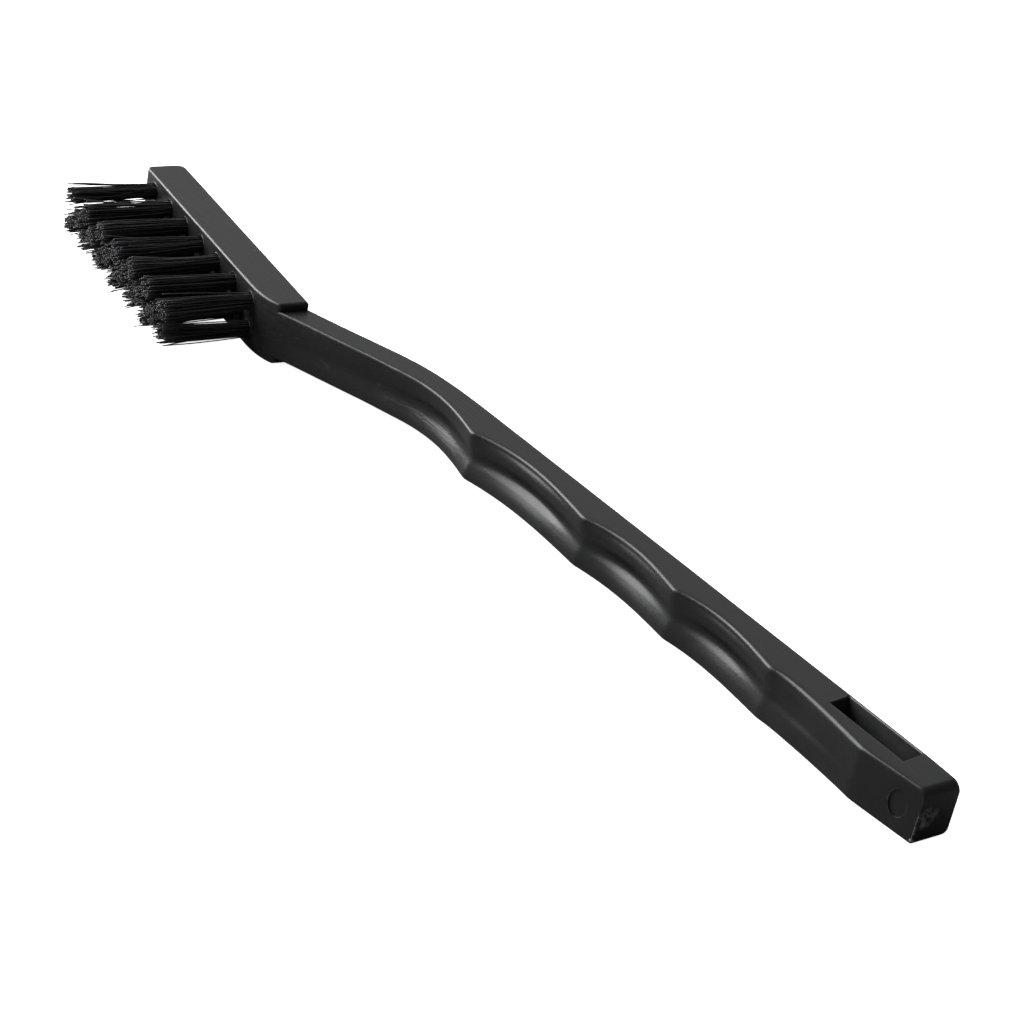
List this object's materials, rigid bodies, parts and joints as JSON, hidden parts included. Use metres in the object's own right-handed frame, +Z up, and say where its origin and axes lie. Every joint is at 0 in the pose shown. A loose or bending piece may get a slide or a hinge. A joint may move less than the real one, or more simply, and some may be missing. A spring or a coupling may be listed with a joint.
{
  "type": "wheel brush",
  "caption": "Slim hand wheel brush: a moulded handle with finger scoops and a hanging slot, and a slightly turned-back head set with stiff bristle tufts for scrubbing wheels.",
  "frame": {"origin": "under the middle of the whole brush, on the plane it lies on when on its side", "axes": "+X along the handle towards the hanging slot, bristles and finger scoops face -Y, +Z up through the thickness"},
  "size_m": [0.178, 0.0276, 0.01],
  "materials": {
    "moulded_plastic": "fine satin moulding, black",
    "nylon_filament": "black crimp-free filament",
    "anchor_wire": "flat drawn wire"
  },
  "bodies": {
    "root": {"handle": "moulded_plastic", "tuft_upper_1": "nylon_filament", "tuft_lower_1": "nylon_filament", "tuft_middle_1": "nylon_filament", "tuft_upper_2": "nylon_filament", "tuft_lower_2": "nylon_filament", "tuft_middle_2": "nylon_filament", "tuft_upper_3": "nylon_filament", "tuft_lower_3": "nylon_filament", "tuft_middle_3": "nylon_filament", "tuft_upper_4": "nylon_filament", "tuft_lower_4": "nylon_filament", "tuft_middle_4": "nylon_filament", "tuft_upper_5": "nylon_filament", "tuft_lower_5": "nylon_filament", "tuft_middle_5": "nylon_filament", "tuft_upper_6": "nylon_filament", "tuft_lower_6": "nylon_filament", "tuft_middle_6": "nylon_filament", "tuft_upper_7": "nylon_filament", "tuft_lower_7": "nylon_filament", "anchor_upper_1": "anchor_wire", "anchor_lower_1": "anchor_wire", "anchor_middle_1": "anchor_wire", "anchor_upper_2": "anchor_wire", "anchor_lower_2": "anchor_wire", "anchor_middle_2": "anchor_wire", "anchor_upper_3": "anchor_wire", "anchor_lower_3": "anchor_wire", "anchor_middle_3": "anchor_wire", "anchor_upper_4": "anchor_wire", "anchor_lower_4": "anchor_wire", "anchor_middle_4": "anchor_wire", "anchor_upper_5": "anchor_wire", "anchor_lower_5": "anchor_wire", "anchor_middle_5": "anchor_wire", "anchor_upper_6": "anchor_wire", "anchor_lower_6": "anchor_wire", "anchor_middle_6": "anchor_wire", "anchor_upper_7": "anchor_wire", "anchor_lower_7": "anchor_wire"}
  },
  "joints": []
}
